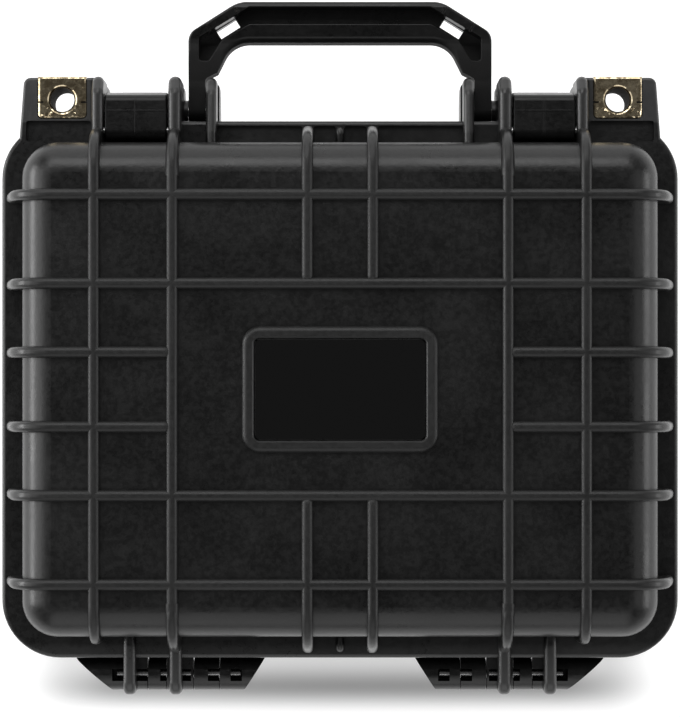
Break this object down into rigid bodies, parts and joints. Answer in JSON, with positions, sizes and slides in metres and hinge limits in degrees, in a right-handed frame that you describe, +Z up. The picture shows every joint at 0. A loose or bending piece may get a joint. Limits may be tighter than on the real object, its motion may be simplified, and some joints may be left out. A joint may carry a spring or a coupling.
{
  "type": "waterproof hard case",
  "caption": "Moulded waterproof hard case with a ribbed hinged lid, front latches, folding handle, padlock corners with metal guards and a pressure valve.",
  "frame": {"origin": "middle of the bottom face that the case lies on", "axes": "+Z up through the lid, X along the width, handle and latches at -Y, hinges at +Y"},
  "size_m": [0.27, 0.2787, 0.124],
  "materials": {
    "shell": "fine moulded grain, charcoal black",
    "handle": "satin black",
    "latch": "satin black",
    "plate": "gloss black",
    "guard": "bright plated",
    "pin": "ground",
    "seal": "matt black",
    "valve": "satin black"
  },
  "bodies": {
    "base": {"base_shell": "shell", "base_padlock_guard_left": "guard", "base_padlock_guard_right": "guard", "hinge_pin_left": "pin", "hinge_pin_right": "pin", "handle_pin_left": "pin", "handle_pin_right": "pin", "valve_body": "valve", "valve_seal": "seal", "valve_nut": "valve"},
    "lid": {"lid_shell": "shell", "lid_gasket": "seal", "name_plate": "plate", "lid_padlock_guard_left": "guard", "lid_padlock_guard_right": "guard", "latch_pin_left": "pin", "latch_pin_right": "pin"},
    "latch_left": {"latch_left": "latch"},
    "latch_right": {"latch_right": "latch"},
    "handle": {"handle": "handle"},
    "valve_knob": {"valve_knob": "valve"}
  },
  "joints": [
    {"name": "lid_hinge", "type": "hinge", "parent": "base", "child": "lid", "pos_m": [0, 0.1146, 0.083], "axis": [-1, 0, 0], "range_deg": [0, 105]},
    {"name": "latch_left_pivot", "type": "hinge", "parent": "lid", "child": "latch_left", "pos_m": [0.08105, -0.1028, 0.1], "axis": [-1, 0, 0], "range_deg": [0, 90]},
    {"name": "latch_right_pivot", "type": "hinge", "parent": "lid", "child": "latch_right", "pos_m": [-0.08105, -0.1028, 0.1], "axis": [-1, 0, 0], "range_deg": [0, 90]},
    {"name": "handle_pivot", "type": "hinge", "parent": "base", "child": "handle", "pos_m": [0, -0.113, 0.0735], "axis": [1, 0, 0], "range_deg": [-5, 90]},
    {"name": "valve_turn", "type": "hinge", "parent": "base", "child": "valve_knob", "pos_m": [0, -0.106, 0.059], "axis": [0, -1, 0], "range_deg": [0, 270]}
  ]
}
